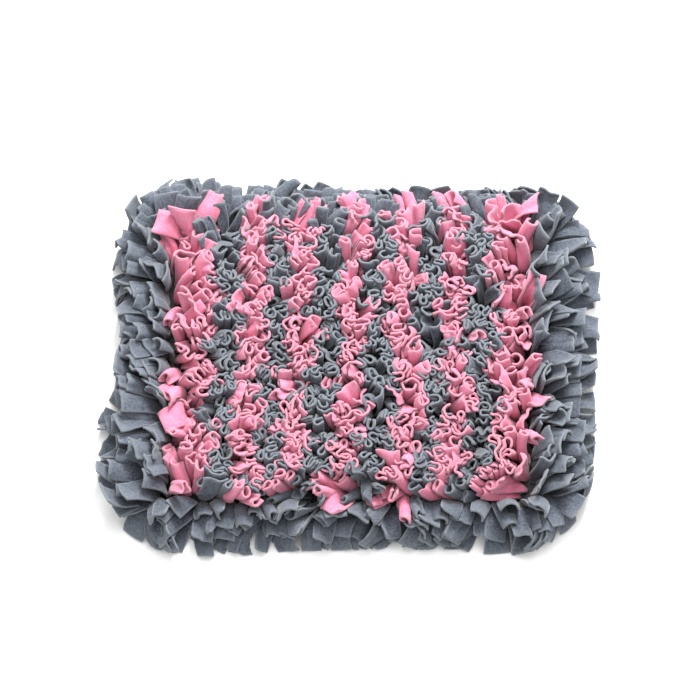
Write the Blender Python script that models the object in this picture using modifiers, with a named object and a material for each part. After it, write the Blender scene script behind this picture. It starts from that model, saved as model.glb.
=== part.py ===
"""Snuffle mat: fleece strips tied in rows through a flat mat, with a splayed border of the same strips.

Frame: +X runs along the longest side, +Z points up, and the front of the mat faces -Y. The origin
lies at the middle of the underside. Lengths are in metres.

Each row of strip ends is one upright sheet that meanders like a ruffle and opens towards the top.
Each stretch of the border is a comb: a sheet whose far edge is cut into tabs, bent over the rim.
"""

import math

import bmesh
import bpy

# The flat mat that carries the strips
BASE_LENGTH = 0.406
BASE_WIDTH = 0.305
BASE_THICKNESS = 0.003
BASE_CORNER_RADIUS = 0.020
BASE_CORNER_STEPS = 6

# The cloth, and the outline that its longest tips reach
CLOTH_THICKNESS = 0.0026
OVERALL_LENGTH = 0.501
OVERALL_WIDTH = 0.403

# Rows of strip ends, side by side along X, each running along Y. The outermost row on each side is
# narrower and shorter than the rest, and stands closer to its neighbour, to leave the rim to the border.
ROW_COUNT = 15
ROW_PITCH = 0.0270
ROW_RUN = 0.272
ROW_HEIGHT = 0.0470
ROW_HEIGHT_SWING = 0.0020
ROW_GAP_OVER_BASE = 0.0003
OUTER_ROW_RUN = 0.262
OUTER_ROW_SHIFT = 0.005
OUTER_ROW_SHARE = 0.55

# The folds of a row: how far they reach to either side at the foot and at the top, and how far the
# row leans out
WAVES_PER_ROW = 8
STEPS_PER_WAVE = 4
FOLD_REACH_LOW = 0.0070
FOLD_REACH_TOP = 0.0088
FOLD_REACH_SWING = 0.0006
END_LEAN = 0.018
END_LEAN_POWER = 4
SIDE_LEAN = 0.012
SIDE_LEAN_POWER = 6

# Border combs. A tab's swing makes some tabs shorter and some higher than their neighbours.
TAB_WIDTH = 0.0235
TAB_PITCH = 0.0270
TAB_REACH_SWING = 0.0035
TAB_LIFT_SWING = 0.0016
CORNER_TABS = 4
CORNER_SPREAD = math.radians(82)

# One entry for each line of a comb, from its root to the tips of its tabs: its share of the comb's
# reach, the height of the cloth's middle, and the share of each swing that it takes
UPPER_PROFILE = (
    {"reach": 0.00, "height": 0.0038, "cut_back": 0.00, "lift": 0.0},
    {"reach": 0.14, "height": 0.0215, "cut_back": 0.00, "lift": 0.0},
    {"reach": 0.52, "height": 0.0285, "cut_back": 0.52, "lift": 1.0},
    {"reach": 1.00, "height": 0.0170, "cut_back": 1.00, "lift": 0.0},
)
LOWER_PROFILE = (
    {"reach": 0.00, "height": 0.0043, "cut_back": 0.00, "lift": 0.0},
    {"reach": 0.16, "height": 0.0120, "cut_back": 0.00, "lift": 0.0},
    {"reach": 0.60, "height": 0.0100, "cut_back": 0.60, "lift": 1.0},
    {"reach": 1.00, "height": 0.0022, "cut_back": 1.00, "lift": 0.0},
)

# The two layers of the border: how far the root stands inside the rim of the base, how far short of
# the overall outline the longest tips end, and where the layer's swings start
LAYERS = (
    {"name": "upper", "profile": UPPER_PROFILE, "inset": 0.0105, "short": 0.0110, "swing_start": 0.0},
    {"name": "lower", "profile": LOWER_PROFILE, "inset": 0.0035, "short": 0.0000, "swing_start": 0.6},
)

# The straight sides: the outward direction, the size of the base and of the whole outline along it,
# and where the side's swings start
SIDES = (
    {"name": "left", "x": -1, "y": 0, "base": BASE_LENGTH, "outline": OVERALL_LENGTH, "swing_start": 0.0},
    {"name": "right", "x": 1, "y": 0, "base": BASE_LENGTH, "outline": OVERALL_LENGTH, "swing_start": 0.0},
    {"name": "front", "x": 0, "y": -1, "base": BASE_WIDTH, "outline": OVERALL_WIDTH, "swing_start": 1.1},
    {"name": "back", "x": 0, "y": 1, "base": BASE_WIDTH, "outline": OVERALL_WIDTH, "swing_start": 1.1},
)

CORNERS = (
    {"name": "front_left", "x": -1, "y": -1},
    {"name": "front_right", "x": 1, "y": -1},
    {"name": "back_left", "x": -1, "y": 1},
    {"name": "back_right", "x": 1, "y": 1},
)
CORNER_SWING_START = 5.0

COLLECTION_NAME = "snuffle_mat"
PINK = (0.86, 0.30, 0.40, 1.0)
GREY = (0.20, 0.22, 0.25, 1.0)
RUBBER = (0.045, 0.045, 0.048, 1.0)
FLEECE_ROUGHNESS = 0.95
RUBBER_ROUGHNESS = 0.7


def clear_scene():
    for existing in list(bpy.data.objects):
        bpy.data.objects.remove(existing, do_unlink=True)


def make_material(name, colour, roughness):
    material = bpy.data.materials.new(name)
    material.use_nodes = True
    shader = material.node_tree.nodes["Principled BSDF"]
    shader.inputs["Base Color"].default_value = colour
    shader.inputs["Roughness"].default_value = roughness
    shader.inputs["Metallic"].default_value = 0.0
    return material


def add_object(name, data, material, collection):
    part = bpy.data.objects.new(name, data)
    part.data.materials.append(material)
    collection.objects.link(part)
    return part


def add_sheet(name, grid, material, collection):
    """An open sheet, made into cloth of the right thickness."""
    mesh = bpy.data.meshes.new(name)
    grid.to_mesh(mesh)
    grid.free()
    sheet = add_object(name, mesh, material, collection)
    cloth = sheet.modifiers.new("Cloth", "SOLIDIFY")
    cloth.thickness = CLOTH_THICKNESS
    cloth.offset = 0.0
    cloth.use_even_offset = True
    return sheet


def unit_grid(steps_along, steps_across):
    """A flat grid whose x and y both run from 0 to 1."""
    grid = bmesh.new()
    bmesh.ops.create_grid(grid, x_segments=steps_along, y_segments=steps_across, size=0.5)
    bmesh.ops.translate(grid, verts=grid.verts, vec=(0.5, 0.5, 0.0))
    return grid


def build_base(material, collection):
    """The flat mat under the strips: a filled outline with round corners."""
    outline = bpy.data.curves.new("base_mat", "CURVE")
    outline.dimensions = "2D"
    outline.fill_mode = "BOTH"
    outline.extrude = BASE_THICKNESS / 2
    centre_x = BASE_LENGTH / 2 - BASE_CORNER_RADIUS
    centre_y = BASE_WIDTH / 2 - BASE_CORNER_RADIUS
    points = []
    for quarter, (sign_x, sign_y) in enumerate(((1, 1), (-1, 1), (-1, -1), (1, -1))):
        for step in range(BASE_CORNER_STEPS + 1):
            angle = math.radians(90 * (quarter + step / BASE_CORNER_STEPS))
            x = sign_x * centre_x + BASE_CORNER_RADIUS * math.cos(angle)
            y = sign_y * centre_y + BASE_CORNER_RADIUS * math.sin(angle)
            points.append((x, y, 0.0, 1.0))
    spline = outline.splines.new("POLY")
    spline.points.add(len(points) - 1)
    for point, place in zip(spline.points, points):
        point.co = place
    spline.use_cyclic_u = True
    base = add_object("base_mat", outline, material, collection)
    base.location = (0.0, 0.0, BASE_THICKNESS / 2)
    return base


def row_layout(index):
    """Where a row lies along X, how long it runs, and how wide its folds are next to a full row."""
    from_centre = index - (ROW_COUNT - 1) / 2
    place = from_centre * ROW_PITCH
    if index in (0, ROW_COUNT - 1):
        return place - math.copysign(OUTER_ROW_SHIFT, from_centre), OUTER_ROW_RUN, OUTER_ROW_SHARE
    return place, ROW_RUN, 1.0


def build_row(index, name, material, collection):
    """One row of strip ends: an upright sheet that meanders from front to back and opens towards the top."""
    steps = WAVES_PER_ROW * STEPS_PER_WAVE
    middle, run, share = row_layout(index)
    outwards = 2 * index / (ROW_COUNT - 1) - 1
    lean_sideways = math.copysign(SIDE_LEAN * abs(outwards) ** SIDE_LEAN_POWER, outwards)
    grid = unit_grid(steps, 2)
    for vertex in grid.verts:
        rise = vertex.co.y
        step = vertex.co.x * steps
        to_end = 2 * vertex.co.x - 1
        side = math.copysign(1.0, math.sin(2 * math.pi * (step + 0.5) / STEPS_PER_WAVE))
        uneven = FOLD_REACH_SWING * math.sin(1.7 * step + 2.3 * index)
        reach = FOLD_REACH_LOW + (FOLD_REACH_TOP - FOLD_REACH_LOW + uneven) * rise
        top = ROW_HEIGHT + ROW_HEIGHT_SWING * math.sin(0.9 * step + 1.3 * index)
        lean_to_end = math.copysign(END_LEAN * abs(to_end) ** END_LEAN_POWER, to_end)
        tilted_edge = CLOTH_THICKNESS / 2 * math.hypot(lean_sideways, lean_to_end) / ROW_HEIGHT
        foot = BASE_THICKNESS + ROW_GAP_OVER_BASE + tilted_edge
        vertex.co = (
            middle + share * side * reach + lean_sideways * rise,
            to_end * run / 2 + lean_to_end * rise,
            foot + (top - foot) * rise,
        )
    return add_sheet(name, grid, material, collection)


def comb_grid(tabs, lines):
    """A grid whose far rows are cut into tabs. Its x counts tabs, and its y counts profile lines."""
    columns = 2 * tabs - 1
    tab_share = TAB_WIDTH / TAB_PITCH
    grid = unit_grid(columns, lines)
    for vertex in grid.verts:
        column = round(vertex.co.x * columns)
        vertex.co.x = column // 2 + (column % 2) * tab_share
        vertex.co.y = round(vertex.co.y * lines)
    slots = []
    for face in grid.faces:
        middle = face.calc_center_median()
        if middle.x % 1.0 > tab_share and middle.y > 1.0:
            slots.append(face)
    bmesh.ops.delete(grid, geom=slots, context="FACES")
    return grid


def comb_section(place, layer, swing_start, reach):
    """How far a comb's vertex stands out from its root, and its height."""
    line = layer["profile"][round(place.y)]
    tab = math.floor(place.x)
    swing = swing_start + layer["swing_start"]
    cut_back = TAB_REACH_SWING * (0.5 - 0.5 * math.sin(2.1 * tab + swing))
    lift = TAB_LIFT_SWING * math.sin(3.7 * tab + 1.9 * swing)
    return line["reach"] * reach - line["cut_back"] * cut_back, line["height"] + line["lift"] * lift


def build_side(side, layer, material, collection):
    """A comb along one straight side of the base."""
    base_across = BASE_LENGTH + BASE_WIDTH - side["base"]
    run = base_across - 2 * BASE_CORNER_RADIUS
    tabs = round(run / TAB_PITCH)
    pitch = run / tabs
    middle = (tabs - 1 + TAB_WIDTH / TAB_PITCH) / 2
    root = side["base"] / 2 - layer["inset"]
    reach = side["outline"] / 2 - layer["short"] - root
    grid = comb_grid(tabs, len(layer["profile"]) - 1)
    for vertex in grid.verts:
        stand_out, height = comb_section(vertex.co, layer, side["swing_start"], reach)
        out = root + stand_out
        along = (vertex.co.x - middle) * pitch
        vertex.co = (side["x"] * out - side["y"] * along, side["y"] * out + side["x"] * along, height)
    return add_sheet(f"fringe_{side['name']}_{layer['name']}", grid, material, collection)


def build_corner(corner, layer, material, collection):
    """A comb that fans out round one corner of the base."""
    tabs_wide = CORNER_TABS - 1 + TAB_WIDTH / TAB_PITCH
    centre_x = BASE_LENGTH / 2 - BASE_CORNER_RADIUS
    centre_y = BASE_WIDTH / 2 - BASE_CORNER_RADIUS
    root = BASE_CORNER_RADIUS - layer["inset"]
    tip = min(OVERALL_LENGTH / 2 - centre_x, OVERALL_WIDTH / 2 - centre_y)
    reach = tip - layer["short"] - root
    first_angle = math.radians(45) - CORNER_SPREAD / 2
    grid = comb_grid(CORNER_TABS, len(layer["profile"]) - 1)
    for vertex in grid.verts:
        stand_out, height = comb_section(vertex.co, layer, CORNER_SWING_START, reach)
        out = root + stand_out
        angle = first_angle + CORNER_SPREAD * vertex.co.x / tabs_wide
        x = corner["x"] * (centre_x + out * math.cos(angle))
        y = corner["y"] * (centre_y + out * math.sin(angle))
        vertex.co = (x, y, height)
    return add_sheet(f"fringe_{corner['name']}_{layer['name']}", grid, material, collection)


def build_mat():
    collection = bpy.data.collections.new(COLLECTION_NAME)
    bpy.context.scene.collection.children.link(collection)
    pink = make_material("pink_fleece", PINK, FLEECE_ROUGHNESS)
    grey = make_material("grey_fleece", GREY, FLEECE_ROUGHNESS)
    rubber = make_material("base_rubber", RUBBER, RUBBER_ROUGHNESS)

    build_base(rubber, collection)
    for index in range(ROW_COUNT):
        number = index // 2 + 1
        if index % 2:
            build_row(index, f"row_pink_{number}", pink, collection)
        else:
            build_row(index, f"row_grey_{number}", grey, collection)
    for layer in LAYERS:
        for side in SIDES:
            build_side(side, layer, grey, collection)
        for corner in CORNERS:
            build_corner(corner, layer, grey, collection)


clear_scene()
build_mat()
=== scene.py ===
"""Looks of the snuffle mat: every strip end is its own piece of fleece, settled against its neighbours."""

import math

import bpy
import numpy as np
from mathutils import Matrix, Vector


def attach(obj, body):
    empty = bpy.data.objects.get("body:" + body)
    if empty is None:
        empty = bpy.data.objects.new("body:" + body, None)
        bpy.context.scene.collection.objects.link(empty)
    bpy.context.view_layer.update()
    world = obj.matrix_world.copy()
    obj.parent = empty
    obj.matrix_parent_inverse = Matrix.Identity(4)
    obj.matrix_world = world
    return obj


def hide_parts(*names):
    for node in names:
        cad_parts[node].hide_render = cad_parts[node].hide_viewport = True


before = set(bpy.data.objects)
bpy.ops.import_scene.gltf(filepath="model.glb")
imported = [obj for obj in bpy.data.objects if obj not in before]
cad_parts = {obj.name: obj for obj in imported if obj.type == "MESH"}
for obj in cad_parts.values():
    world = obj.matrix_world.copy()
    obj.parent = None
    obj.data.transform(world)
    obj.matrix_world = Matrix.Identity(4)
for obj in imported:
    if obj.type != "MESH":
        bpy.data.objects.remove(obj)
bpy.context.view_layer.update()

MM = 0.001
SEED = 11
rng = np.random.default_rng(SEED)


def base_size():
    """Half the length and half the width of the base, and the height of its top (mm)."""
    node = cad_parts["base_mat"]
    corners = np.array([node.matrix_world @ Vector(corner) for corner in node.bound_box]) / MM
    return [round(float(size), 1) for size in corners.max(axis=0)]


# The base (mm), and its grid of holes
BASE_HALF_X, BASE_HALF_Y, BASE_TOP = base_size()
HOLE_COLUMNS = 30
HOLE_ROWS = 24
COLUMN_PITCH = 13.6
ROW_PITCH = 12.7

# The holes along the rim: the outermost columns on each side, and the outermost rows at the ends
RIM_COLUMNS = 2
RIM_ROWS = 1

# Places of the two strip ends of a hole inside the mat (mm from its middle)
INNER_ENDS = ((-3.4, -3.2), (3.4, 3.2))

# The strip ends of a hole along the rim lie like pages: their places across the pages (mm from the
# middle of the hole), how much further they lean than the place of the hole asks for (degrees), and
# their lengths (mm)
RIM_PAGES = (
    {"place": -2.0, "lean": -15, "length": 46.0},
    {"place": 2.0, "lean": 12, "length": 53.0},
    {"place": -3.2, "lean": -26, "length": 40.0},
    {"place": 0.0, "lean": 0, "length": 45.0},
    {"place": 3.2, "lean": 16, "length": 52.0},
    {"place": -3.2, "lean": -46, "length": 43.0},
    {"place": 0.0, "lean": -12, "length": 45.0},
    {"place": 3.2, "lean": 16, "length": 52.0},
)
SIDE_PAGES = (0, 1)
BACK_PAGES = (2, 3, 4)
FRONT_PAGES = (5, 6, 7)

# The pages lie askew to the rim by this angle (radians)
PAGE_TILT = math.radians(24)

# Two more pages fan out at each hole next to a corner: steps of the hole from the sides and the ends
# of the grid, and the distances from the rims that turn them. They stand this much further out (mm)
CORNER_FAN = (
    {"steps": (0, 1), "from_rim": (7.0, 10.5)},
    {"steps": (1, 1), "from_rim": (8.5, 8.5)},
    {"steps": (1, 0), "from_rim": (10.5, 7.0)},
)
CORNER_SHIFT = 4.2

# A strip end: the width that its shapes are drawn at, the thickness of the cloth (mm), and the grid
# of points that it is worked out on
STRIP_WIDTH = 25.0
CLOTH = 2.5
POINTS_ACROSS = 11
POINTS_ALONG = 12

# At the knot a strip is gathered to a share of its width, and it opens over a length (mm) above it
KNOT_SHARE = 0.36
KNOT_LENGTH = 20.0


def smooth(t):
    """From 0 to 1, with a soft start and a soft end."""
    t = np.clip(t, 0.0, 1.0)
    return t * t * (3.0 - 2.0 * t)


def column_of(table, name):
    """One column of a table, as an array."""
    return np.array([entry[name] for entry in table], float)


def read(table, name, by, places):
    """One column of a table at the given places of another column, between the entries."""
    return np.interp(places, column_of(table, by), column_of(table, name))


# -------- where each strip end stands

# How far the strips lean outwards (degrees), by the distance of their roots from the rim (mm)
LEAN = (
    {"from_rim": 3, "sides": 96, "front": 104, "back": 98},
    {"from_rim": 7, "sides": 80, "front": 86, "back": 84},
    {"from_rim": 16, "sides": 42, "front": 14, "back": 48},
    {"from_rim": 23, "sides": 26, "front": 5, "back": 36},
    {"from_rim": 30, "sides": 10, "front": 3, "back": 29},
    {"from_rim": 36, "sides": 6, "front": 3, "back": 26},
    {"from_rim": 48, "sides": 3, "front": 3, "back": 21},
    {"from_rim": 70, "sides": 2, "front": 3, "back": 17},
    {"from_rim": 110, "sides": 1, "front": 1, "back": 10},
    {"from_rim": 152, "sides": 0, "front": 0, "back": 3},
)
MOST_LEAN = 104.0

# Near a corner the lean to the side and the lean to the end both count: they share the direction by one
# power of theirs, and add up by another, so that the larger one rules
DIRECTION_POWER = 1.5
CORNER_POWER = 4


def outward_lean(root):
    """Unit direction in which each strip leans, and how far (radians)."""
    sideways = read(LEAN, "sides", "from_rim", BASE_HALF_X - np.abs(root[:, 0]))
    from_end = BASE_HALF_Y - np.abs(root[:, 1])
    to_front = read(LEAN, "front", "from_rim", from_end)
    to_back = read(LEAN, "back", "from_rim", from_end)
    lengthways = np.where(root[:, 1] > 0, to_back, to_front)
    direction = np.stack([
        np.sign(root[:, 0]) * sideways ** DIRECTION_POWER,
        np.sign(root[:, 1]) * lengthways ** DIRECTION_POWER,
    ], axis=1)
    direction /= np.maximum(np.linalg.norm(direction, axis=1, keepdims=True), 1e-6)
    angle = (sideways ** CORNER_POWER + lengthways ** CORNER_POWER) ** (1 / CORNER_POWER)
    return direction, np.radians(np.minimum(angle, MOST_LEAN))


# Strips of the front hang askew: how far the way down turns to the left (degrees), by the place along
# the front (mm)
FRONT_SKEW = (
    {"x": -203, "left": 10},
    {"x": -150, "left": 34},
    {"x": -60, "left": 22},
    {"x": 20, "left": 8},
    {"x": 120, "left": -2},
    {"x": 203, "left": 0},
)

# The front starts this far from the middle of the mat, and what it changes comes in over a width (mm)
FRONT_START = 105.0
SKEW_BLEND = 35.0
DRAWN_IN_BLEND = 25.0


def front_share(root, blend):
    """From 0 behind the start of the front to 1 within it."""
    return smooth((-root[:, 1] - FRONT_START) / blend)


def turn_front(out_dir, root):
    """Turn the directions of the strips at the front askew."""
    skew = np.radians(read(FRONT_SKEW, "left", "x", root[:, 0])) * front_share(root, SKEW_BLEND)
    x = out_dir[:, 0] * np.cos(skew) + out_dir[:, 1] * np.sin(skew)
    y = -out_dir[:, 0] * np.sin(skew) + out_dir[:, 1] * np.cos(skew)
    return np.stack([x, y], axis=1)


def page_angle(places):
    """Direction across the pages at each place: askew to the rim, their front edges on top."""
    direction, _ = outward_lean(places)
    direction = turn_front(direction, places)
    rim_angle = np.arctan2(direction[:, 1], direction[:, 0]) + math.pi / 2
    return rim_angle - np.sign(places[:, 0]) * PAGE_TILT


def page_place(x, y, lean_x, lean_y, number):
    """Place of a page that lies at x, y and leans as at lean_x, lean_y."""
    across = page_angle(np.array([[lean_x, lean_y]]))[0] - math.pi / 2
    place = RIM_PAGES[number]["place"]
    return x + place * math.cos(across), y + place * math.sin(across)


def end_table():
    """For each strip end: column and row of its hole, page number if the hole is at the rim (else -1),
    the place that sets its lean, and its own place (mm)."""
    found = []
    for column in range(HOLE_COLUMNS):
        for row in range(HOLE_ROWS):
            steps_x = min(column, HOLE_COLUMNS - 1 - column)
            steps_y = min(row, HOLE_ROWS - 1 - row)
            if steps_x == 0 and steps_y == 0:
                continue
            x = (column - (HOLE_COLUMNS - 1) / 2) * COLUMN_PITCH
            y = (row - (HOLE_ROWS - 1) / 2) * ROW_PITCH
            end_pages = BACK_PAGES if y > 0 else FRONT_PAGES
            if steps_x < RIM_COLUMNS or steps_y < RIM_ROWS:
                pages = end_pages if steps_y < RIM_ROWS else SIDE_PAGES
                for number in pages:
                    found.append((column, row, number, x, y, *page_place(x, y, x, y, number)))
            else:
                for dx, dy in INNER_ENDS:
                    found.append((column, row, -1, x + dx, y + dy, x + dx, y + dy))
            for entry in CORNER_FAN:
                if entry["steps"] == (steps_x, steps_y):
                    lean_x = math.copysign(BASE_HALF_X - entry["from_rim"][0], x)
                    lean_y = math.copysign(BASE_HALF_Y - entry["from_rim"][1], y)
                    fan_x = x + math.copysign(CORNER_SHIFT, x)
                    fan_y = y + math.copysign(CORNER_SHIFT, y)
                    for number in SIDE_PAGES:
                        place = page_place(fan_x, fan_y, lean_x, lean_y, number)
                        found.append((column, row, number, lean_x, lean_y, *place))
    found = np.array(found, float)
    column, row, page = found[:, :3].astype(int).T
    return column, row, page, found[:, 3:5], found[:, 5:]


column, row, page, lean_place, root = end_table()
is_border = page >= 0
STRIPS = len(column)
hole_index = column * HOLE_ROWS + row
rim_steps_x = np.minimum(column, HOLE_COLUMNS - 1 - column)
rim_steps_y = np.minimum(row, HOLE_ROWS - 1 - row)
is_pink = ((column // 2) % 2 == 1) & ~is_border
out_dir, lean = outward_lean(lean_place)
out_dir = turn_front(out_dir, lean_place)
lean = lean + np.radians(np.where(is_border, column_of(RIM_PAGES, "lean")[page], 0.0))


# -------- the shapes of the cut ends

def curl(turns, lobes, skew, steps, bend_share=1.0):
    """A line of unit length across the strip: its heading swings by turns (radians) over the given
    lobes, or in one bend that takes up a share of the line, and both its ends turn by skew."""
    t = (np.arange(steps) + 0.5) / steps
    if lobes > 0:
        heading = turns * np.sin(math.pi * lobes * (t - 0.5))
    else:
        heading = turns * (np.clip((t - 0.5) / bend_share, -0.5, 0.5))
    heading = heading + skew * (t - 0.5) ** 2 * 4.0
    line = np.zeros((steps + 1, 2))
    line[1:, 0] = np.cumsum(np.cos(heading)) / steps
    line[1:, 1] = np.cumsum(np.sin(heading)) / steps
    return line - line.mean(axis=0)


# Kinds of curl: their share of the strips, the swing of the heading (degrees), the lobes across the
# strip (none for a single bend), the skew (degrees), and the share of the line that the bend takes up
INNER_SHAPES = (
    {"share": 0.44, "swing": 195, "lobes": 0, "skew": 10, "bend_share": 0.45},
    {"share": 0.12, "swing": 170, "lobes": 0, "skew": 20, "bend_share": 1.0},
    {"share": 0.06, "swing": 290, "lobes": 0, "skew": 0, "bend_share": 0.9},
    {"share": 0.22, "swing": 95, "lobes": 2, "skew": 20, "bend_share": 1.0},
    {"share": 0.06, "swing": 85, "lobes": 3, "skew": 10, "bend_share": 1.0},
    {"share": 0.10, "swing": 120, "lobes": 0, "skew": 60, "bend_share": 0.7},
)
BORDER_SHAPES = (
    {"share": 0.40, "swing": 30, "lobes": 0, "skew": 10, "bend_share": 1.0},
    {"share": 0.45, "swing": 120, "lobes": 0, "skew": 20, "bend_share": 0.8},
    {"share": 0.15, "swing": 45, "lobes": 2, "skew": 15, "bend_share": 1.0},
)

# A strip starts from a line curled up until it lies within its own cell (mm): the swings at which the
# tightening stops (degrees), for a single bend and for lobes, and the number of its steps
CELL_RADIUS = 4.6
TIGHTEST_BEND = 420
TIGHTEST_LOBES = 150
TIGHTENING_STEPS = 24


def lines_across(swing, lobes, skew, bend_share):
    """The line across a strip as it wants to lie, and a tighter one to start from."""
    steps = POINTS_ACROSS - 1
    tightest = math.radians(TIGHTEST_BEND if lobes == 0 else TIGHTEST_LOBES)
    rest = curl(swing, lobes, skew, steps, bend_share) * STRIP_WIDTH
    start = curl(swing, lobes, skew, steps) * STRIP_WIDTH
    best = np.linalg.norm(start, axis=1).max()
    for swing_now in np.linspace(abs(swing), tightest, TIGHTENING_STEPS):
        tight = curl(math.copysign(swing_now, swing), lobes, skew, steps) * STRIP_WIDTH
        size = np.linalg.norm(tight, axis=1).max()
        if size < best:
            best = size
            start = tight
        if size < CELL_RADIUS:
            break
    return rest, start


# Shares of the strips that curl one way and the other, and how their shapes vary from hole to hole and
# within a hole
BORDER_WAYS = (0.8, 0.2)
INNER_WAYS = (0.5, 0.5)
HOLE_SPREAD = (0.85, 1.15)
SWING_SPREAD = (0.9, 1.1)
SKEW_SPREAD = (0.5, 1.5)


def pick_shapes():
    """The lines across every strip, at rest and to start from. Strips of one hole are alike."""
    rest = np.zeros((STRIPS, POINTS_ACROSS, 2))
    start = np.zeros((STRIPS, POINTS_ACROSS, 2))
    for strip in range(STRIPS):
        has_twin = strip > 0 and hole_index[strip] == hole_index[strip - 1]
        if not has_twin:
            table = BORDER_SHAPES if is_border[strip] else INNER_SHAPES
            shares = column_of(table, "share")
            entry = table[rng.choice(len(table), p=shares / shares.sum())]
            sign = rng.choice([-1, 1], p=BORDER_WAYS if is_border[strip] else INNER_WAYS)
            hole_swing = math.radians(entry["swing"]) * rng.uniform(*HOLE_SPREAD) * sign
            hole_skew = math.radians(entry["skew"]) * rng.uniform(-1, 1)
        swing = hole_swing * rng.uniform(*SWING_SPREAD)
        skew = hole_skew * rng.uniform(*SKEW_SPREAD)
        rest[strip], start[strip] = lines_across(swing, entry["lobes"], skew, entry["bend_share"])
        if is_border[strip]:
            start[strip] = rest[strip]
    return rest, start


def turn(points, angle):
    """Points in the plane, each row of them turned by its own angle (radians)."""
    c = np.cos(angle)[:, None]
    s = np.sin(angle)[:, None]
    x = points[..., 0] * c - points[..., 1] * s
    y = points[..., 0] * s + points[..., 1] * c
    return np.stack([x, y], axis=-1)


rest_line, start_line = pick_shapes()

# The pages of the border lie alike, more or less; inner strips look anywhere, two by two (radians)
PAGE_SPREAD = 0.18
TWIN_SPREAD = 0.15
facing_of_hole = rng.uniform(0, 2 * math.pi, HOLE_COLUMNS * HOLE_ROWS)
inner_facing = facing_of_hole[hole_index] + rng.normal(0, TWIN_SPREAD, STRIPS)
border_facing = page_angle(lean_place) + rng.normal(0, PAGE_SPREAD, STRIPS)
facing = np.where(is_border, border_facing, inner_facing)
rest_line = turn(rest_line, facing)
start_line = turn(start_line, facing)

# How much the lean varies from strip to strip, and where it stops (degrees)
BORDER_LEAN_SPREAD = 8
INNER_LEAN_SPREAD = 2
LEAN_LIMIT = 106
border_noise = rng.normal(0, math.radians(BORDER_LEAN_SPREAD), STRIPS)
inner_noise = rng.normal(0, math.radians(INNER_LEAN_SPREAD), STRIPS)
lean = np.clip(lean + np.where(is_border, border_noise, inner_noise), 0.0, math.radians(LEAN_LIMIT))

# Lengths and widths of the strips, each with its spread (mm). Pink strips are longer and wider, and
# inner strips are longer where they lean
SHORT_SHARE = 0.30
SHORT_LENGTH = (43.5, 2.5)
FULL_LENGTH = (50.5, 1.8)
LONGER_AT_60_DEGREES = 4.0
BORDER_LENGTH_SPREAD = 3.0
BORDER_WIDTH = (22.0, 2.2)
INNER_WIDTH = (24.0, 1.0)
PINK_LONGER = 1.5
PINK_WIDER = 1.8

# Where the strips of the border are longer (mm): the place, how far round it, and by how much. The
# change fades out at this many times the distance
FADED_OUT = 1.5
LONGER_BORDER = (
    {"x": -150, "y": 152, "around": 30, "longer": 10},
    {"x": 205, "y": 70, "around": 70, "longer": 7},
    {"x": -205, "y": -75, "around": 50, "longer": 9},
    {"x": -200, "y": -150, "around": 35, "longer": 7},
    {"x": 40, "y": -152, "around": 120, "longer": 3},
)
is_short = rng.uniform(0, 1, STRIPS) < SHORT_SHARE
strip_length = np.where(is_short, rng.normal(*SHORT_LENGTH, STRIPS), rng.normal(*FULL_LENGTH, STRIPS))
strip_length += np.where(is_pink, PINK_LONGER, 0.0)
strip_length += LONGER_AT_60_DEGREES * np.degrees(lean) / 60.0
border_length = column_of(RIM_PAGES, "length")[page] + rng.normal(0.0, BORDER_LENGTH_SPREAD, STRIPS)
for entry in LONGER_BORDER:
    away = np.hypot(root[:, 0] - entry["x"], root[:, 1] - entry["y"])
    border_length += entry["longer"] * smooth(FADED_OUT - away / entry["around"])
strip_length = np.where(is_border, border_length, strip_length)
strip_width = np.where(is_border, rng.normal(*BORDER_WIDTH, STRIPS), rng.normal(*INNER_WIDTH, STRIPS))
strip_width += np.where(is_pink, PINK_WIDER, 0.0)
rest_line *= (strip_width / STRIP_WIDTH)[:, None, None]
start_line *= (strip_width / STRIP_WIDTH)[:, None, None]

# How far the tips of the pink columns stand to the right of their holes (mm), column by column from
# the left, at places from the front to the back of the mat
TIP_DRIFT = (
    {"y": -144, "drift": (8, 5, -12, -16, -14, -22, -21)},
    {"y": -102, "drift": (10, 6, -5, -8, -3, -6, -19)},
    {"y": -49, "drift": (11, 7, -5, -6, 4, -2, -9)},
    {"y": 4, "drift": (18, 12, 4, 7, 0, -4, -13)},
    {"y": 56, "drift": (16, 7, 5, 0, -6, -5, -11)},
    {"y": 109, "drift": (3, 18, 6, 7, 3, -2, -14)},
    {"y": 157, "drift": (2, 14, 5, 2, -4, -2, -11)},
)
PINK_COLUMNS = HOLE_COLUMNS // 4
PINK_COLUMN_PITCH = 4 * COLUMN_PITCH


def tip_drift(root):
    """Sideways lean of the tips (mm) at each root, read between the entries of the table."""
    levels = column_of(TIP_DRIFT, "y")
    table = column_of(TIP_DRIFT, "drift")
    places = (np.arange(PINK_COLUMNS) - (PINK_COLUMNS - 1) / 2) * PINK_COLUMN_PITCH
    by_column = np.array([np.interp(root[:, 1], levels, table[:, k]) for k in range(PINK_COLUMNS)])
    return np.array([np.interp(x, places, by_column[:, k]) for k, x in enumerate(root[:, 0])])


# The tips also stand unevenly, by a sum of waves over the mat: how many waves, their length (mm) and
# its spread, and how far they carry the tips (mm); and every tip has a little of its own (mm)
WAVES = 6
WAVE_LENGTH = 55.0
WAVE_LENGTH_SPREAD = (0.7, 1.4)
WAVE_STRENGTH = 1.6
SIDEWAYS_WAVE = 4.5
SIDEWAYS_SEED = 5
LENGTHWAYS_WAVE = 6.0
LENGTHWAYS_SEED = 6
TIP_SPREAD = 2.0


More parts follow.
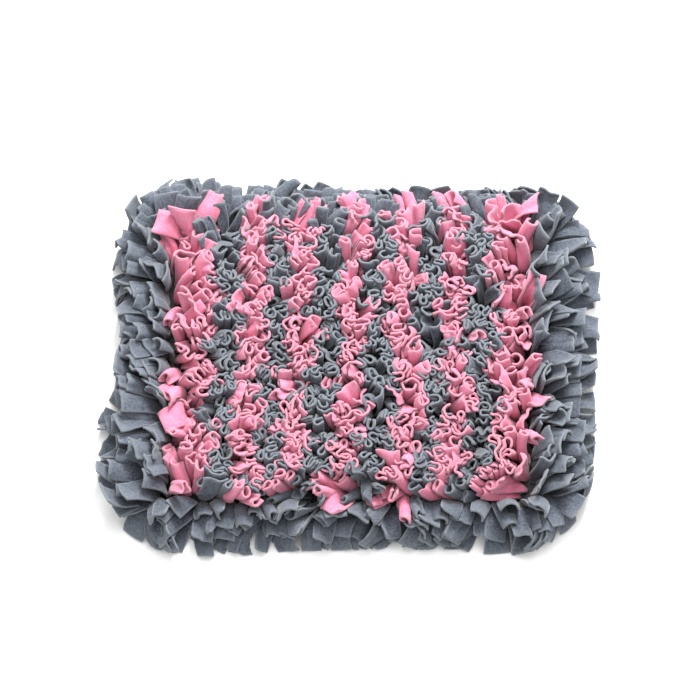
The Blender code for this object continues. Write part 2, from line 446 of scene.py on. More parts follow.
def waves(root, seed):
    """A smooth uneven field over the mat, from about -1 to 1."""
    local = np.random.default_rng(seed)
    total = np.zeros(len(root))
    for _ in range(WAVES):
        angle = local.uniform(0, 2 * math.pi)
        phase = local.uniform(0, 2 * math.pi)
        scale = 2 * math.pi / (WAVE_LENGTH * local.uniform(*WAVE_LENGTH_SPREAD))
        total += np.sin((root[:, 0] * math.cos(angle) + root[:, 1] * math.sin(angle)) * scale + phase)
    return total / WAVES * WAVE_STRENGTH


# Tips of the inner strips nearest the front are drawn in (mm)
DRAWN_IN = 7.0
inner = np.where(is_border, 0.0, 1.0)
drawn_in = DRAWN_IN * front_share(root, DRAWN_IN_BLEND)
sideways_offset = tip_drift(root) + SIDEWAYS_WAVE * waves(root, SIDEWAYS_SEED)
lengthways_offset = LENGTHWAYS_WAVE * waves(root, LENGTHWAYS_SEED) + drawn_in
tip_offset = np.stack([
    sideways_offset * inner + rng.normal(0, TIP_SPREAD, STRIPS) * inner,
    lengthways_offset * inner + rng.normal(0, TIP_SPREAD, STRIPS) * inner,
], axis=1)

# Border strips ripple a little along their length: how far (mm), and how many waves
RIPPLE_SPREAD = 1.8
RIPPLE_WAVES = 1.3
ripple = np.where(is_border, rng.normal(0, RIPPLE_SPREAD, STRIPS), 0.0)
ripple_phase = rng.uniform(0, 2 * math.pi, STRIPS)

# Single pink strips that stand out in the pile: the place of the tip (mm), the way it points (degrees
# from +X), how far it leans (degrees), its length and width (mm), and how far it curls across (degrees)
STANDOUTS = (
    {"x": -145, "y": 160, "way": 66, "lean": 66, "length": 60, "width": 24, "swing": 40},
    {"x": -191, "y": 134, "way": 172, "lean": 78, "length": 60, "width": 26, "swing": 50},
    {"x": -146, "y": 142, "way": 40, "lean": 60, "length": 58, "width": 28, "swing": 30},
    {"x": 190, "y": 76, "way": 64, "lean": 62, "length": 57, "width": 27, "swing": 235},
    {"x": -187, "y": -60, "way": 185, "lean": 80, "length": 60, "width": 26, "swing": 35},
)

# They rise straight for a share of their length and then bend over, which carries the tip sideways by
# about this share of the length; the rest of the way to its place is a shift of so much at most (mm)
STANDOUT_BEND_FROM = 0.40
STANDOUT_REACH = 0.42
STANDOUT_SHIFT = 15.0

# What a stand-out lies on is shorter (mm): this far from it, along this share of its length
CLEARED_AROUND = 15.0
CLEARED_ALONG = 0.6
CLEARED_LENGTH = 36.0

# Strips that can't be a stand-out count as this much further away (mm)
NEVER = 1000.0
bend_from = np.zeros(STRIPS)
is_standout = np.zeros(STRIPS, bool)

# A strip bends over along a share of its length, more of it where it leans less: the least share, how
# much more at most, and the lean (radians) from which it is the least
SHARPEST_BEND = 0.40
SOFTER_BEND = 0.55
SHARP_FROM_LEAN = 1.7
BEND_STEPS = 60


def bend_profile(strip, angle):
    """Heading from the upright, way out and height along a strip that bends over by an angle."""
    t = np.linspace(0.0, 1.0, BEND_STEPS)
    bend_span = SHARPEST_BEND + SOFTER_BEND * (1.0 - min(1.0, lean[strip] / SHARP_FROM_LEAN))
    bend = angle * smooth((t - bend_from[strip]) / bend_span)
    step = strip_length[strip] / (BEND_STEPS - 1)
    out = np.concatenate([[0], np.cumsum(np.sin(bend)[:-1])]) * step
    up = np.concatenate([[0], np.cumsum(np.cos(bend)[:-1])]) * step
    return t, bend, out, up


def set_standouts():
    """Give each stand-out to the pink strip whose root suits it best, and shorten what it lies on."""
    for entry in STANDOUTS:
        angle = math.radians(entry["way"])
        way = np.array([math.cos(angle), math.sin(angle)])
        tip = np.array([entry["x"], entry["y"]])
        wanted = tip - way * STANDOUT_REACH * entry["length"]
        distance = np.linalg.norm(root - wanted, axis=1) + np.where(is_pink & ~is_standout, 0.0, NEVER)
        strip = int(np.argmin(distance))
        is_standout[strip] = True
        bend_from[strip] = STANDOUT_BEND_FROM
        out_dir[strip] = way
        lean[strip] = math.radians(entry["lean"])
        strip_length[strip] = entry["length"]
        strip_width[strip] = entry["width"]
        rest, start = lines_across(math.radians(entry["swing"]), 0, 0.0, 1.0)
        across = np.array([angle + math.pi / 2])
        rest_line[strip] = turn(rest[None], across)[0] * entry["width"] / STRIP_WIDTH
        start_line[strip] = turn(start[None], across)[0] * entry["width"] / STRIP_WIDTH
        reach = bend_profile(strip, lean[strip])[2][-1]
        tip_offset[strip] = np.clip(tip - root[strip] - way * reach, -STANDOUT_SHIFT, STANDOUT_SHIFT)
    for strip in np.flatnonzero(is_standout):
        along = np.clip((root - root[strip]) @ out_dir[strip], 0.0, strip_length[strip] * CLEARED_ALONG)
        away = np.linalg.norm(root - root[strip] - along[:, None] * out_dir[strip], axis=1)
        under = (away < CLEARED_AROUND) & ~is_border & ~is_standout
        strip_length[under] = np.minimum(strip_length[under], CLEARED_LENGTH)


set_standouts()

# The shift of a tip comes in along the strip by this power of the way up. Roots lie this far under the
# top of the base (mm)
SHIFT_POWER = 1.3
ROOT_DEPTH = 1.0


def build_strips(lines, lean_share):
    """Points of every strip, leaning by a share of its final lean."""
    along = np.linspace(0.0, 1.0, POINTS_ALONG)
    upwards = np.array([0.0, 0.0, 1.0])
    points = np.zeros((STRIPS, POINTS_ALONG, POINTS_ACROSS, 3))
    for strip in range(STRIPS):
        length = strip_length[strip]
        t, bend, out, up = bend_profile(strip, lean[strip] * lean_share[strip])
        direction = np.array([out_dir[strip, 0], out_dir[strip, 1], 0.0])
        side = np.array([-direction[1], direction[0], 0.0])
        for j, share in enumerate(along):
            way_out = np.interp(share, t, out)
            height = np.interp(share, t, up)
            heading = np.interp(share, t, bend)
            gathered = KNOT_SHARE + (1 - KNOT_SHARE) * smooth(share * length / KNOT_LENGTH)
            line = lines[strip] * gathered
            on_across = line @ direction[:2]
            on_side = line @ side[:2]
            across = direction * math.cos(heading) - upwards * math.sin(heading)
            centre = np.array([root[strip, 0], root[strip, 1], 0.0]) + direction * way_out
            centre[:2] += tip_offset[strip] * lean_share[strip] * share ** SHIFT_POWER
            centre[2] = BASE_TOP - ROOT_DEPTH + height
            normal = upwards * math.sin(heading) + direction * math.cos(heading)
            wave = math.sin(2 * math.pi * share * RIPPLE_WAVES + ripple_phase[strip])
            centre += normal * ripple[strip] * wave * share
            points[strip, j] = centre + on_across[:, None] * across + on_side[:, None] * side
    return points


# The cloth wants to lie as at this share of its lean: inner strips upright, stand-outs as they are
BORDER_HELD = 0.85
held_lean = np.where(is_standout, 1.0, np.where(is_border, BORDER_HELD, 0.0))
rest_points = build_strips(rest_line, held_lean).astype(np.float32)
points = build_strips(start_line, np.ones(STRIPS)).astype(np.float32)


# -------- settling the strips against each other

# The first rows of points of a strip are held in the knot. Two points of different strips stay this far
# apart (mm), and pairs are looked for a little further out
FREE_FROM = 2
CONTACT = 2.9
SEARCH_MARGIN = 1.0
POINTS_PER_STRIP = POINTS_ALONG * POINTS_ACROSS

# The furthest that a point moves in a step, and the greatest heights of the points (mm)
TOP_SPEED = 0.40
CEILING = 54.0
STANDOUT_CEILING = 58.0

# Weight of the strips (mm per step per step). Border strips are held by their neighbours and sag less
INNER_WEIGHT = 0.020
BORDER_WEIGHT = 0.005

# The strips start small and grow to their contact distance over a share of the steps. From a later
# share on they calm down: the steady pushes stop, and they keep less of their speed
SETTLING_STEPS = 200
GROWING_SHARE = 0.45
FIRST_SIZE = 0.30
CALM_FROM = 0.8
KEPT_SPEED = 0.90
KEPT_SPEED_WHEN_CALM = 0.7
STEPS_BETWEEN_SEARCHES = 4
ROUNDS_PER_STEP = 2


def span(points, rows, columns):
    """Distance between each point and the one that many rows and columns further on."""
    last_row = POINTS_ALONG - rows
    first = points[:, :last_row, max(0, -columns):POINTS_ACROSS - max(0, columns)]
    second = points[:, rows:, max(0, columns):POINTS_ACROSS + min(0, columns)]
    return np.linalg.norm(second - first, axis=-1)


def shares(rows):
    """How a correction is split between a row of points and the row further on; the first rows stay put."""
    free = (np.arange(POINTS_ALONG) >= FREE_FROM).astype(np.float32)
    a = free[:POINTS_ALONG - rows]
    b = free[rows:]
    total = np.maximum(a + b, 1e-6)
    return (a / total)[None, :, None, None], (b / total)[None, :, None, None]


def pull(a, b, rest, stiffness, share_a, share_b):
    """Move both ends of the distances between a and b towards their rest lengths."""
    d = b - a
    length = np.sqrt(np.einsum("...k,...k->...", d, d))
    d *= (stiffness * (1.0 - rest / np.maximum(length, 1e-3)))[..., None]
    a += share_a * d
    b -= share_b * d


# Each point is tied to the one so many rows and columns further on. Short ties keep the cloth from
# stretching, and long ones keep its curl
CLOTH_TIES = (
    {"rows": 0, "columns": 1, "stiffness": 0.50},
    {"rows": 1, "columns": 0, "stiffness": 0.50},
    {"rows": 1, "columns": 1, "stiffness": 0.20},
    {"rows": 1, "columns": -1, "stiffness": 0.20},
    {"rows": 0, "columns": 2, "stiffness": 0.26},
    {"rows": 0, "columns": 5, "stiffness": 0.10},
    {"rows": 2, "columns": 0, "stiffness": 0.26},
    {"rows": 4, "columns": 0, "stiffness": 0.16},
)


def make_cloth(points):
    """The distances that the cloth keeps: rows and columns apart, rest lengths, stiffness and shares."""
    kept = []
    for entry in CLOTH_TIES:
        rest = span(points, entry["rows"], entry["columns"]).astype(np.float32)
        kept.append((entry["rows"], entry["columns"], rest, entry["stiffness"], shares(entry["rows"])))
    return kept


def hold_cloth(p, cloth):
    """One round of pulling all the ties towards their rest lengths."""
    for rows, columns, rest, stiffness, (share_a, share_b) in cloth:
        low = FREE_FROM if rows == 0 else max(0, FREE_FROM - rows)
        last_row = POINTS_ALONG - rows
        a = p[:, low:last_row, max(0, -columns):POINTS_ACROSS - max(0, columns)]
        b = p[:, low + rows:, max(0, columns):POINTS_ACROSS + min(0, columns)]
        pull(a, b, rest[:, low:], np.float32(stiffness), share_a[:, low:], share_b[:, low:])


# Points of one strip this near in its flat cloth (mm) don't push each other
POINT_SPACE_ALONG = 4.5
POINT_SPACE_ACROSS = 2.5
BESIDE = 6.5

# The cells to look in, as steps in x and y: a point's own, and half of those round it. Each step takes
# in the cells below and above it too, but the first takes in only the one above
CELL_STEPS = ((0, 0), (0, 1), (1, -1), (1, 0), (1, 1))


def near_pairs(flat, reach):
    """Pairs of points nearer than reach that are not neighbours in the same strip."""
    cells = np.floor((flat - flat.min(axis=0)) / reach).astype(np.int64) + 1
    size = cells.max(axis=0) + 2
    key = (cells[:, 0] * size[1] + cells[:, 1]) * size[2] + cells[:, 2]
    order = np.argsort(key, kind="stable")
    key = key[order]
    sorted_points = flat[order]
    count = len(flat)
    found = []
    for dx, dy in CELL_STEPS:
        step = (dx * size[1] + dy) * size[2]
        if dx == 0 and dy == 0:
            low = np.arange(count) + 1
            high = np.searchsorted(key, key + 1, side="right")
        else:
            low = np.searchsorted(key, key + step - 1, side="left")
            high = np.searchsorted(key, key + step + 1, side="right")
        number = np.maximum(high - low, 0)
        total = int(number.sum())
        a = np.repeat(np.arange(count), number)
        first = np.repeat(np.cumsum(number) - number, number)
        b = np.arange(total) - first + np.repeat(low, number)
        d = sorted_points[a] - sorted_points[b]
        near = np.einsum("ij,ij->i", d, d) < reach * reach
        found.append((order[a[near]], order[b[near]]))
    a = np.concatenate([pair[0] for pair in found])
    b = np.concatenate([pair[1] for pair in found])
    same = a // POINTS_PER_STRIP == b // POINTS_PER_STRIP
    rows_apart = (a % POINTS_PER_STRIP) // POINTS_ACROSS - (b % POINTS_PER_STRIP) // POINTS_ACROSS
    columns_apart = a % POINTS_ACROSS - b % POINTS_ACROSS
    along = rows_apart * POINT_SPACE_ALONG
    across = columns_apart * POINT_SPACE_ACROSS
    beside = same & (along ** 2 + across ** 2 < BESIDE ** 2)
    held = FREE_FROM * POINTS_ACROSS
    both_held = (a % POINTS_PER_STRIP < held) & (b % POINTS_PER_STRIP < held)
    keep = ~(beside | both_held)
    return a[keep], b[keep]


# A point that several others push moves by less than their sum, by this much for each one more
CROWDING = 0.30


def push_apart(flat, a, b, radius, movable):
    """Move the points of the given pairs apart where they are nearer than their radii allow."""
    d = flat[a] - flat[b]
    square = np.einsum("ij,ij->i", d, d)
    reach = radius[a] + radius[b]
    touching = square < reach * reach
    a = a[touching]
    b = b[touching]
    d = d[touching]
    length = np.sqrt(square[touching]) + 1e-4
    d *= (0.5 * (reach[touching] - length) / length)[:, None]
    count = len(flat)
    number = np.bincount(a, minlength=count) + np.bincount(b, minlength=count)
    scale = movable / (1.0 + CROWDING * np.maximum(number - 1, 0))
    for k in range(3):
        push = np.bincount(a, weights=d[:, k], minlength=count)
        push -= np.bincount(b, weights=d[:, k], minlength=count)
        flat[:, k] += (push * scale).astype(np.float32)


# How far the cloth reaches from the middle of the mat (mm), at places along each side
REACH_SIDES = (
    {"y": -180, "left": 241, "right": 237},
    {"y": -120, "left": 249, "right": 240},
    {"y": -65, "left": 253, "right": 243},
    {"y": -20, "left": 232, "right": 243},
    {"y": 30, "left": 227, "right": 249},
    {"y": 90, "left": 240, "right": 256},
    {"y": 150, "left": 233, "right": 246},
)
REACH_ENDS = (
    {"x": -220, "front": 194, "back": 198},
    {"x": -150, "front": 199, "back": 212},
    {"x": -60, "front": 190, "back": 193},
    {"x": 20, "front": 188, "back": 186},
    {"x": 100, "front": 189, "back": 183},
    {"x": 170, "front": 199, "back": 186},
    {"x": 220, "front": 189, "back": 184},
)
OUTLINE_POWER = 6.0

# Points nearer to the middle than this are never outside (mm)
SAFE_X = 170.0
SAFE_Y = 140.0


def keep_in_outline(p):
    """The outline is a rounded rectangle whose four reaches change along its sides."""
    free = p[:, FREE_FROM:]
    x = free[..., 0]
    y = free[..., 1]
    outer = (np.abs(x) > SAFE_X) | (np.abs(y) > SAFE_Y)
    x = x[outer]
    y = y[outer]
    reach_x = np.where(x < 0, read(REACH_SIDES, "left", "y", y), read(REACH_SIDES, "right", "y", y))
    reach_y = np.where(y < 0, read(REACH_ENDS, "front", "x", x), read(REACH_ENDS, "back", "x", x))
    size = (np.abs(x) / reach_x) ** OUTLINE_POWER + (np.abs(y) / reach_y) ** OUTLINE_POWER
    shrink = 1.0 / np.maximum(size, 1.0) ** (1 / OUTLINE_POWER)
    free[outer, 0] = x * shrink
    free[outer, 1] = y * shrink


# Gaps kept round the base and over what the cloth lies on (mm)
GAP_ROUND_BASE = 1.0
GAP_UNDER_CLOTH = 0.1


def keep_off_ground(p):
    """Cloth lies on the surface under the mat, or on top of the base, and stays under its ceiling."""
    free = p[:, FREE_FROM:]
    over_x = np.abs(free[..., 0]) < BASE_HALF_X + GAP_ROUND_BASE
    over_y = np.abs(free[..., 1]) < BASE_HALF_Y + GAP_ROUND_BASE
    lowest = np.where(over_x & over_y, BASE_TOP, 0.0) + CLOTH / 2 + GAP_UNDER_CLOTH
    ceiling = np.where(is_standout, STANDOUT_CEILING, CEILING)[:, None, None]
    free[..., 2] = np.clip(free[..., 2], lowest, ceiling)


# Steady pushes (mm per step per step), and the share of an inner strip below the part that flops over
ASKEW_PUSH = 0.010
TWIST_PUSH = 0.010
FLOP_PUSH = 0.014
FLOP_FROM = 0.6


def side_pushes():
    """A steady push on each point: border strips are blown askew and twisted, inner tips flop over."""
    share = np.linspace(0.0, 1.0, POINTS_ALONG)[None, :, None]
    across = np.linspace(-1.0, 1.0, POINTS_ACROSS)[None, None, :]
    border = is_border.astype(float)
    askew = (rng.normal(0, ASKEW_PUSH, STRIPS) * border)[:, None, None]
    twist = (rng.normal(0, TWIST_PUSH, STRIPS) * border)[:, None, None]
    push = np.zeros((STRIPS, POINTS_ALONG, POINTS_ACROSS, 3), np.float32)
    push[..., 0] = askew * share * -out_dir[:, 1][:, None, None]
    push[..., 1] = askew * share * out_dir[:, 0][:, None, None]
    push[..., 2] = twist * share * across
    flop = np.clip((share - FLOP_FROM) / (1.0 - FLOP_FROM), 0, 1)
    for axis in (0, 1):
        push[..., axis] += (rng.normal(0, FLOP_PUSH, STRIPS) * (1 - border))[:, None, None] * flop
    return push


def settle(points, cloth):
    """Let the strips fall, grow to their thickness and push each other until they lie still."""
    weight = np.where(is_border, BORDER_WEIGHT, INNER_WEIGHT).astype(np.float32)[:, None, None]
    p = points.copy()
    previous = p.copy()
    flat = p.reshape(-1, 3)
    push = side_pushes()
    along = np.linspace(0.0, 1.0, POINTS_ALONG)
    mean_length = float(strip_length.mean())
    gathered = KNOT_SHARE + (1 - KNOT_SHARE) * smooth(along * mean_length / KNOT_LENGTH)
    radius_share = np.tile(np.repeat(gathered, POINTS_ACROSS), STRIPS).astype(np.float32)
    row_of = (np.arange(len(flat)) % POINTS_PER_STRIP) // POINTS_ACROSS
    movable = (row_of >= FREE_FROM).astype(np.float64)
    pairs = None
    growing_steps = SETTLING_STEPS * GROWING_SHARE
    for step in range(SETTLING_STEPS):
        growth = min(1.0, FIRST_SIZE + (1.0 - FIRST_SIZE) * step / growing_steps)
        radius = radius_share * np.float32(CONTACT / 2 * growth)
        calm = step > SETTLING_STEPS * CALM_FROM
        move = (p - previous) * np.float32(KEPT_SPEED_WHEN_CALM if calm else KEPT_SPEED)
        move[..., 2] -= weight
        if not calm:
            move += push
        speed = np.sqrt(np.einsum("...k,...k->...", move, move))
        move *= np.minimum(1.0, TOP_SPEED / np.maximum(speed, 1e-6))[..., None]
        move[:, :FREE_FROM] = 0.0
        previous = p.copy()
        p += move
        if step % STEPS_BETWEEN_SEARCHES == 0:
            pairs = near_pairs(flat, CONTACT * growth + SEARCH_MARGIN)
        for _ in range(ROUNDS_PER_STEP):
            hold_cloth(p, cloth)
            push_apart(flat, pairs[0], pairs[1], radius, movable)
            keep_off_ground(p)
        keep_in_outline(p)
    return p


# -------- from points to cloth with a thickness

# Points across a strip of the finished cloth, and their places along it, closer towards the free end
FINE_ACROSS = 15
FINE_ALONG = np.array([0.0, 0.22, 0.42, 0.60, 0.75, 0.87, 0.95, 1.0])

# Along a cut edge the cloth is thinner by a share, and its rim stands out (mm), flat over a share of the
# thickness. The colour of the cut reaches onto both sides of the cloth, by a share of its strength
EDGE_THINNING = 0.12
EDGE_ROUND = 0.45
EDGE_FLAT = 0.5
EDGE_SPILL = 0.6


def refine(p, axis, places):
    """A smooth curve through the points along one axis, read at the given places from 0 to 1."""
    p = np.moveaxis(p, axis, 0)
    size = p.shape[0]
    padded = np.concatenate([2 * p[:1] - p[1:2], p, 2 * p[-1:] - p[-2:-1]])
    place = np.asarray(places) * (size - 1)
    index = np.minimum(place.astype(int), size - 2)
    t = (place - index).reshape((-1,) + (1,) * (p.ndim - 1))
    a, b, c, d = (padded[index + k] for k in range(4))
    square = 2 * a - 5 * b + 4 * c - d
    cube = 3 * b - a - 3 * c + d
    curve = 0.5 * (2 * b + (c - a) * t + square * t ** 2 + cube * t ** 3)
    return np.moveaxis(curve, 0, axis)


def unit(v):
    """Each vector at unit length."""
    return v / np.maximum(np.linalg.norm(v, axis=-1, keepdims=True), 1e-9)


def strip_faces(rows, columns):
    """Quads of one strip: both sides of the cloth, a rounded rim round three sides, and the foot."""
    grid = rows * columns
    index = np.arange(grid).reshape(rows, columns)
    corners = [index[:-1, :-1], index[:-1, 1:], index[1:, 1:], index[1:, :-1]]
    front = np.stack(corners, axis=-1).reshape(-1, 4)
    back = front[:, ::-1] + grid
    rim = np.concatenate([index[:, 0], index[-1, 1:], index[-2::-1, -1]])
    length = len(rim)
    first = 2 * grid + np.arange(length)
    second = first + length
    lines = [rim, first, second, rim + grid]
    quads = [front, back]
    for upper, lower in zip(lines, lines[1:]):
        quads.append(np.stack([upper[:-1], upper[1:], lower[1:], lower[:-1]], axis=-1))
    foot = index[0]
    quads.append(np.stack([foot[1:], foot[:-1], foot[:-1] + grid, foot[1:] + grid], axis=-1))
    quads.append(np.array([[foot[0], first[0], second[0], foot[0] + grid]]))
    quads.append(np.array([[foot[-1] + grid, second[-1], first[-1], foot[-1]]]))
    return np.concatenate(quads), rim


def thicken(p, rim):
    """Vertices of the strips whose middles are p: both sides of the cloth, and two lines round the rim."""
    count, rows, columns = p.shape[:3]
    across = np.gradient(p, axis=2)
    along = np.gradient(p, axis=1)
    normal = unit(np.cross(across, along))
    half = CLOTH / 2
    grid = rows * columns
    flat = p.reshape(count, grid, 3)
    flat_normal = normal.reshape(count, grid, 3)
    on_rim = np.zeros(grid)
    on_rim[rim] = 1.0
    thickness = half * (1.0 - EDGE_THINNING * on_rim)[None, :, None]
    front = flat + flat_normal * thickness
    back = flat - flat_normal * thickness
    outwards = np.zeros((count, rows, columns, 3))
    outwards[:, :, 0] -= unit(across[:, :, 0])
    outwards[:, :, -1] += unit(across[:, :, -1])
    outwards[:, -1] += unit(along[:, -1])
    outwards = unit(outwards.reshape(count, grid, 3)[:, rim])
    rim_point = flat[:, rim] + outwards * EDGE_ROUND
    first = rim_point + flat_normal[:, rim] * half * EDGE_FLAT
    second = rim_point - flat_normal[:, rim] * half * EDGE_FLAT
    return np.concatenate([front, back, first, second], axis=1)


def add_to_scene(name, data):
    """A new object with the given data, in the scene."""
    thing = bpy.data.objects.new(name, data)
    bpy.context.scene.collection.objects.link(thing)
    return thing


def cloth_mesh(name, p, tone_and_painted_shade, shade):
    """One mesh of many strips. p holds the points of each strip's middle (mm)."""
    p = refine(p, 2, np.linspace(0.0, 1.0, FINE_ACROSS))
    p = refine(p, 1, FINE_ALONG)
    count, rows, columns = p.shape[:3]
    quads, rim = strip_faces(rows, columns)
    vertices = thicken(p, rim)
    per_strip = vertices.shape[1]
    faces = (quads[None] + (np.arange(count) * per_strip)[:, None, None]).reshape(-1, 4)
    mesh = bpy.data.meshes.new(name)
    mesh.vertices.add(count * per_strip)
    mesh.vertices.foreach_set("co", (vertices.reshape(-1) * MM).astype(np.float32))
    mesh.loops.add(faces.size)
    mesh.loops.foreach_set("vertex_index", faces.reshape(-1).astype(np.int32))
    mesh.polygons.add(len(faces))
    mesh.polygons.foreach_set("loop_start", np.arange(0, faces.size, 4, dtype=np.int32))
    mesh.update(calc_edges=True)
    mesh.polygons.foreach_set("use_smooth", np.ones(len(faces), bool))
    near_edge = np.zeros(rows * columns)
    near_edge[rim] = EDGE_SPILL
    edge = np.concatenate([near_edge, near_edge, np.ones(2 * len(rim))])
    # Painted shade: the colour darkens from the tip towards the foot of each strip
    depth = np.repeat(FINE_ALONG - 1.0, columns)
    depth = np.concatenate([depth, depth, depth[rim], depth[rim]])
    tone_and_painted_shade_of_point = (tone_and_painted_shade[:, None] + depth[None, :] * shade[:, None]).reshape(-1)
    for label, values in (("edge", np.tile(edge, count)), ("tone_and_painted_shade", tone_and_painted_shade_of_point)):
        attribute = mesh.attributes.new(label, "FLOAT", "POINT")
        attribute.data.foreach_set("value", values.astype(np.float32))
    return add_to_scene(name, mesh)


# -------- materials

# Colours of the fleece: between its fibres, on its face, and along its cut edges. The colour between the
# fibres is also the one that the painted shade darkens towards
FLEECE_COLOURS = {
    "pink": {"deep": (0.500, 0.090, 0.158), "face": (0.525, 0.205, 0.298), "cut": (0.408, 0.170, 0.223)},
    "grey": {"deep": (0.025, 0.027, 0.041), "face": (0.109, 0.126, 0.149), "cut": (0.124, 0.137, 0.156)},
}


def new_material(name, roughness):
    material = bpy.data.materials.new(name)
    material.use_nodes = True
    shader = material.node_tree.nodes["Principled BSDF"]
    shader.inputs["Roughness"].default_value = roughness
    return material, material.node_tree, shader


def place_on_piece(tree):
    """Coordinates that are fixed to the piece, as a socket."""
    return tree.nodes.new("ShaderNodeTexCoord").outputs["Object"]


def add_noise(tree, place, scale, detail=2.0, roughness=0.5):
    """Noise at a place, as a socket."""
    noise = tree.nodes.new("ShaderNodeTexNoise")
    noise.inputs["Scale"].default_value = scale
    noise.inputs["Detail"].default_value = detail
    noise.inputs["Roughness"].default_value = roughness
    tree.links.new(place, noise.inputs["Vector"])
    return noise.outputs["Fac"]


def add_attribute(tree, name):
    attribute = tree.nodes.new("ShaderNodeAttribute")
    attribute.attribute_name = name
    return attribute.outputs["Fac"]


def add_weighted(tree, value, weight, added, clamp):
    """value times weight, plus added, as a socket."""
    node = tree.nodes.new("ShaderNodeMath")
    node.operation = "MULTIPLY_ADD"
    node.use_clamp = clamp
    node.inputs[1].default_value = weight
    tree.links.new(value, node.inputs[0])
    tree.links.new(added, node.inputs[2])
    return node.outputs[0]


def add_mix(tree, factor, colour):
    """A mix towards the given colour, by the factor."""
    mix = tree.nodes.new("ShaderNodeMix")
    mix.data_type = "RGBA"
    mix.inputs["B"].default_value = (*colour, 1.0)
    tree.links.new(factor, mix.inputs["Factor"])
    return mix


def add_bump(tree, height, strength, distance):
    bump = tree.nodes.new("ShaderNodeBump")
    bump.inputs["Strength"].default_value = strength
    bump.inputs["Distance"].default_value = distance
    tree.links.new(height, bump.inputs["Height"])
    tree.links.new(bump.outputs["Normal"], tree.nodes["Principled BSDF"].inputs["Normal"])


def fleece(colour):
    """Brushed fleece: a matt face with fine fibre noise, a soft sheen, and fuzzy cut edges."""
    material, tree, shader = new_material(f"{colour}_fleece", roughness=0.95)
    shader.inputs["Specular IOR Level"].default_value = 0.15
    shader.inputs["Sheen Weight"].default_value = 0.28
    shader.inputs["Sheen Roughness"].default_value = 0.45
    place = place_on_piece(tree)
    fibre = add_noise(tree, place, scale=480.0, detail=3.0, roughness=0.7)
    patch = add_noise(tree, place, scale=120.0)
    # This attribute carries each strip's own random darkening together with painted shade at the feet and
    # on the inner grey strips
    tone_and_painted_shade_here = add_attribute(tree, "tone_and_painted_shade")
    with_fibre = add_weighted(tree, fibre, weight=1.6, added=tone_and_painted_shade_here, clamp=False)
    factor = add_weighted(tree, patch, weight=0.5, added=with_fibre, clamp=True)
    colours = FLEECE_COLOURS[colour]
    body = add_mix(tree, factor, colours["face"])
    body.inputs["A"].default_value = (*colours["deep"], 1.0)
    rimmed = add_mix(tree, add_attribute(tree, "edge"), colours["cut"])
    tree.links.new(body.outputs["Result"], rimmed.inputs["A"])
    tree.links.new(rimmed.outputs["Result"], shader.inputs["Base Color"])
    add_bump(tree, fibre, strength=0.6, distance=0.0006)
    return material


def rubber():
    """Plain dark rubber of the base, with a fine grain."""
    material, tree, shader = new_material("base_rubber", roughness=0.7)
    shader.inputs["Base Color"].default_value = (0.05, 0.05, 0.053, 1.0)
    grain = add_noise(tree, place_on_piece(tree), scale=1400.0)
    add_bump(tree, grain, strength=0.3, distance=0.0003)
    return material


# -------- the pieces

# Tone of the strips: how far their colour lies from the face's towards the deep one, at the tip of a pink
# strip, how much further for grey ones of the border and inside the mat (inside, most of it is painted
# shade of the valleys between the rows), and how much further at the foot than at the tip, inside and at
# the border, which is painted shade at the feet of the strips
TIP_TONE = (-0.42, -0.24)
BORDER_DEEPER = 0.03
INNER_GREY_DEEPER_WITH_PAINTED_SHADE = 0.16
PAINTED_FOOT_SHADE = 0.65
BORDER_PAINTED_FOOT_SHADE = 0.90

cloth = make_cloth(rest_points)
settled = settle(points, cloth)
# Inner grey strips are darker than those of the border, mostly by painted shade of the valleys between the
# rows
grey_deeper_and_painted_shade = np.where(is_border, BORDER_DEEPER, INNER_GREY_DEEPER_WITH_PAINTED_SHADE)
tone_and_painted_shade = rng.uniform(*TIP_TONE, STRIPS) - np.where(is_pink, 0.0, grey_deeper_and_painted_shade)
shade = np.where(is_border, BORDER_PAINTED_FOOT_SHADE, PAINTED_FOOT_SHADE)


def row_groups():
    """Name, colour, strips and CAD nodes of each row inside the mat."""
    found = []
    for index in range(HOLE_COLUMNS // 2):
        colour = "pink" if index % 2 else "grey"
        name = f"row_{colour}_{index // 2 + 1}"
        members = (column // 2 == index) & (rim_steps_x > 0) & (rim_steps_y > 0)
        found.append((name, colour, members, [name]))
    return found


def fringe_groups():
    """Name, colour, strips and CAD nodes of each side's fringe. The left and the right have the corners."""
    left = column == 0
    right = column == HOLE_COLUMNS - 1
    front = (row == 0) & ~left & ~right
    back = (row == HOLE_ROWS - 1) & ~left & ~right
    found = []
    for side, members in (("left", left), ("right", right), ("front", front), ("back", back)):
        parts = [f"fringe_{side}"]
        if side in ("left", "right"):
            parts += [f"fringe_front_{side}", f"fringe_back_{side}"]
        nodes = [f"{part}_{layer}" for part in parts for layer in ("upper", "lower")]
        found.append((f"fringe_{side}", "grey", members, nodes))
    return found


materials = {colour: fleece(colour) for colour in FLEECE_COLOURS}
for name, colour, members, nodes in row_groups() + fringe_groups():
    piece = cloth_mesh("strips_" + name, settled[members].astype(np.float64), tone_and_painted_shade[members], shade[members])
    piece.data.materials.append(materials[colour])
    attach(piece, "root")
    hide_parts(*nodes)

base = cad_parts["base_mat"]
base.data.materials.clear()
base.data.materials.append(rubber())


# -------- floor, light and camera

# The floor (m) lies just under the mat
FLOOR_HALF = 6.0
FLOOR_DROP = 0.0002
FLOOR_COLOUR = (0.80, 0.80, 0.80, 1)
WORLD_STRENGTH = 1.20

# Place (m), size (m) and power (W) of the lights
LIGHTS = (
    {"name": "key", "place": (0.42, 1.65, 1.65), "size": 1.0, "power": 130.0},
    {"name": "top", "place": (0.00, 0.60, 2.30), "size": 1.6, "power": 30.0},
)

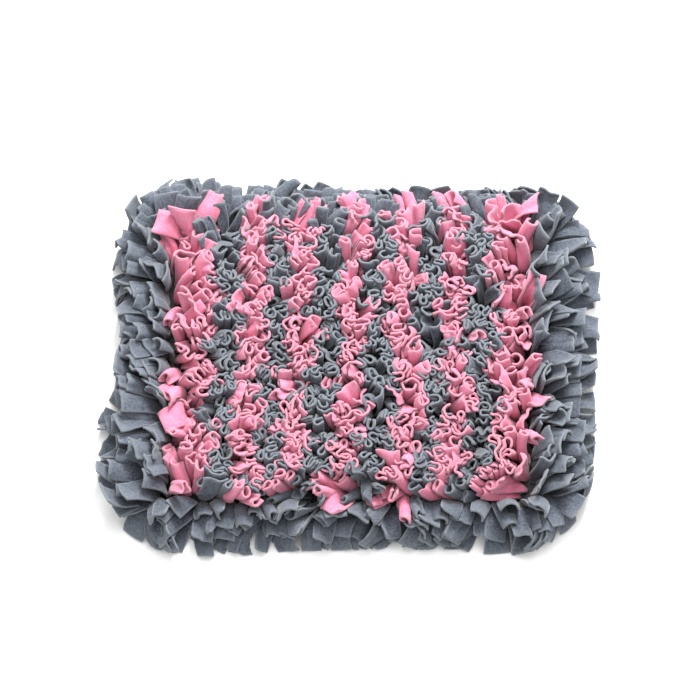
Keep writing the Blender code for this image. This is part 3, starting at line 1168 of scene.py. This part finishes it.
# The camera looks at a place (m) from a height (degrees) and a distance (m), and sees a width (m) there
CAMERA_AIM = (0.0, 0.018, 0.0)
CAMERA_ELEVATION = math.radians(71)
CAMERA_DISTANCE = 3.0
CAMERA_VIEW = 0.70
SENSOR_WIDTH = 36.0
CLIP_END = 30.0


def add_floor():
    corners = [(x * FLOOR_HALF, y * FLOOR_HALF, 0.0) for x, y in ((-1, -1), (1, -1), (1, 1), (-1, 1))]
    mesh = bpy.data.meshes.new("floor")
    mesh.from_pydata(corners, [], [(0, 1, 2, 3)])
    floor = add_to_scene("floor", mesh)
    floor.location.z = -FLOOR_DROP
    material, _, shader = new_material("floor", roughness=0.9)
    shader.inputs["Base Color"].default_value = FLOOR_COLOUR
    mesh.materials.append(material)


def add_world():
    world = bpy.data.worlds.new("studio")
    bpy.context.scene.world = world
    world.use_nodes = True
    background = world.node_tree.nodes["Background"]
    background.inputs["Color"].default_value = (1.0, 1.0, 1.0, 1)
    background.inputs["Strength"].default_value = WORLD_STRENGTH


def add_light(name, place, size, power):
    """A round light that faces the middle of the mat."""
    light = bpy.data.lights.new(name, "AREA")
    light.shape = "DISK"
    light.size = size
    light.energy = power
    lamp = add_to_scene(name, light)
    lamp.location = place
    lamp.rotation_euler = (-lamp.location).to_track_quat("-Z", "Y").to_euler()


def add_camera():
    data = bpy.data.cameras.new("camera")
    data.sensor_width = SENSOR_WIDTH
    data.lens = SENSOR_WIDTH * CAMERA_DISTANCE / CAMERA_VIEW
    data.clip_end = CLIP_END
    camera = add_to_scene("camera", data)
    camera.location = (
        CAMERA_AIM[0],
        CAMERA_AIM[1] - CAMERA_DISTANCE * math.cos(CAMERA_ELEVATION),
        CAMERA_AIM[2] + CAMERA_DISTANCE * math.sin(CAMERA_ELEVATION),
    )
    camera.rotation_euler = (math.pi / 2 - CAMERA_ELEVATION, 0.0, 0.0)
    bpy.context.scene.camera = camera


add_floor()
add_world()
for light in LIGHTS:
    add_light(**light)
add_camera()
bpy.context.scene.view_settings.view_transform = "Standard"
